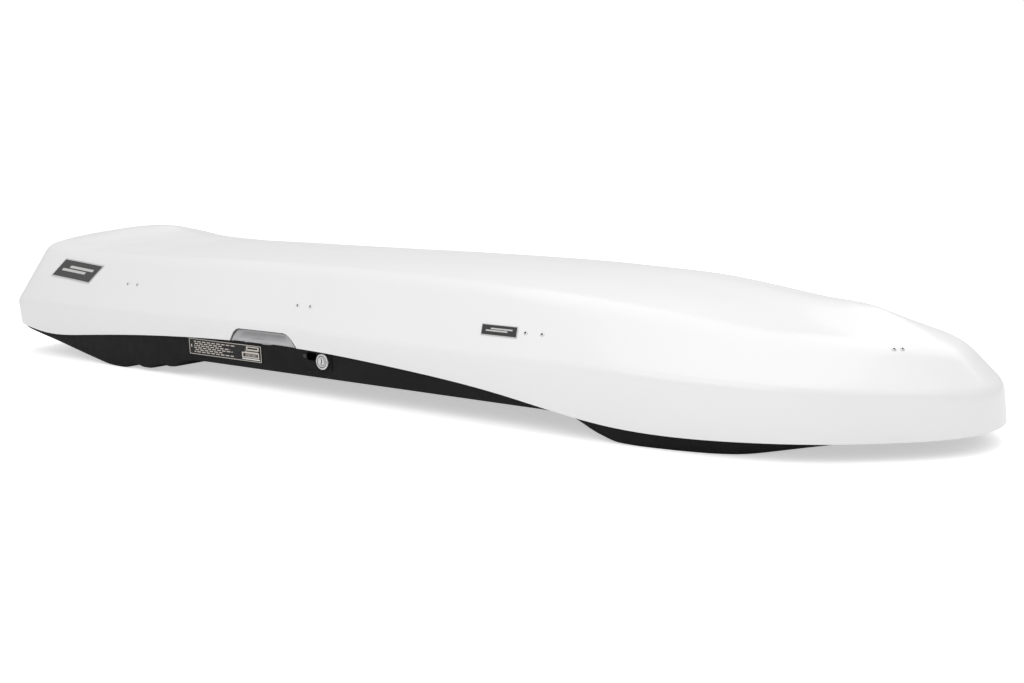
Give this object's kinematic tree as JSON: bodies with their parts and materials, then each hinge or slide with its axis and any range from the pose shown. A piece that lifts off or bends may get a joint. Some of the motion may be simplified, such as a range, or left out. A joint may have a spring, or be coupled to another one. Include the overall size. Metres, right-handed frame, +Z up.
{
  "type": "roof cargo box",
  "caption": "Long low roof cargo box: gloss white lid hinged on a black tray, with grip, key lock, sliding latch bar and lid struts.",
  "frame": {"origin": "bottom centre of the closed box's bounding box", "axes": "+X towards the nose, -Y the opening side with grip and lock, +Z up"},
  "size_m": [2.359, 0.7403, 0.3246],
  "materials": {
    "white_lid": "high gloss white ABS",
    "black_tray": "fine grained black ABS",
    "black_nylon": "moulded black nylon",
    "grey_grip": "satin grey moulding",
    "bright_metal": "bright plated metal",
    "zinc_steel": "zinc plated pressed steel",
    "dark_foil": null
  },
  "bodies": {
    "tray": {"base_tray": "black_tray", "floor_rail_left": "zinc_steel", "floor_rail_right": "zinc_steel", "hinge_bracket_front": "zinc_steel", "hinge_bracket_middle": "zinc_steel", "hinge_bracket_rear": "zinc_steel", "hinge_pin_front": "zinc_steel", "hinge_pin_middle": "zinc_steel", "hinge_pin_rear": "zinc_steel", "info_label": "dark_foil", "latch_guide_1": "black_nylon", "latch_guide_2": "black_nylon", "latch_guide_3": "black_nylon", "lock_escutcheon": "black_tray", "lock_face": "bright_metal", "lock_housing": "black_nylon", "lock_screw": "black_nylon", "strut_foot_front": "zinc_steel", "strut_foot_rear": "zinc_steel", "strut_pin_front": "zinc_steel", "strut_pin_rear": "zinc_steel"},
    "lid": {"flank_badge": "dark_foil", "grip_insert": "grey_grip", "hinge_arm_front": "zinc_steel", "hinge_arm_middle": "zinc_steel", "hinge_arm_rear": "zinc_steel", "hinge_front_rivet_1": "bright_metal", "hinge_front_rivet_2": "bright_metal", "hinge_middle_rivet_1": "bright_metal", "hinge_middle_rivet_2": "bright_metal", "hinge_rear_rivet_1": "bright_metal", "hinge_rear_rivet_2": "bright_metal", "keeper_front": "zinc_steel", "keeper_front_rivet_1": "bright_metal", "keeper_front_rivet_2": "bright_metal", "keeper_middle": "zinc_steel", "keeper_middle_rivet_1": "bright_metal", "keeper_middle_rivet_2": "bright_metal", "keeper_rear": "zinc_steel", "keeper_rear_rivet_1": "bright_metal", "keeper_rear_rivet_2": "bright_metal", "lid_bow_front": "white_lid", "lid_bow_rear": "white_lid", "lid_shell": "white_lid", "nose_locator": "zinc_steel", "nose_locator_rivet_1": "bright_metal", "nose_locator_rivet_2": "bright_metal", "strut_fork_front": "zinc_steel", "strut_fork_rear": "zinc_steel", "tail_badge": "dark_foil"},
    "lock_plug": {"lock_plug": "bright_metal", "lock_cam": "zinc_steel"},
    "latch_bar": {"latch_bar": "black_nylon"},
    "strut_tube_rear": {"strut_tube_rear": "black_nylon"},
    "strut_rod_rear": {"strut_rod_rear": "bright_metal"},
    "strut_tube_front": {"strut_tube_front": "black_nylon"},
    "strut_rod_front": {"strut_rod_front": "bright_metal"}
  },
  "joints": [
    {"name": "lid_hinge", "type": "hinge", "parent": "tray", "child": "lid", "pos_m": [0, 0.335, 0.064], "axis": [-1, 0, 0], "range_deg": [0, 60]},
    {"name": "lock_turn", "type": "hinge", "parent": "tray", "child": "lock_plug", "pos_m": [-0.036, -0.36, 0.079], "axis": [0, 1, 0], "range_deg": [0, 90]},
    {"name": "latch_slide", "type": "slide", "parent": "tray", "child": "latch_bar", "axis": [1, 0, 0], "range_m": [0, 0.0255]},
    {"name": "strut_rear_swing", "type": "hinge", "parent": "tray", "child": "strut_tube_rear", "pos_m": [-0.7945, 0.25, 0.077], "axis": [-1, 0, 0], "range_deg": [0, 69.8]},
    {"name": "strut_rear_slide", "type": "slide", "parent": "strut_tube_rear", "child": "strut_rod_rear", "axis": [0, -0.8725, 0.4886], "range_m": [0, 0.0716]},
    {"name": "strut_front_swing", "type": "hinge", "parent": "tray", "child": "strut_tube_front", "pos_m": [0.5255, 0.25, 0.077], "axis": [-1, 0, 0], "range_deg": [0, 69.8]},
    {"name": "strut_front_slide", "type": "slide", "parent": "strut_tube_front", "child": "strut_rod_front", "axis": [0, -0.8725, 0.4886], "range_m": [0, 0.0716]}
  ],
  "couplings": [
    {"joint": "latch_slide", "follows": "lock_turn", "m_per_rad": 0.01617},
    {"joint": "strut_rear_swing", "follows": "lid_hinge", "ratio": 1.1467},
    {"joint": "strut_rear_slide", "follows": "lid_hinge", "m_per_rad": 0.067423},
    {"joint": "strut_front_swing", "follows": "lid_hinge", "ratio": 1.1467},
    {"joint": "strut_front_slide", "follows": "lid_hinge", "m_per_rad": 0.067423}
  ]
}
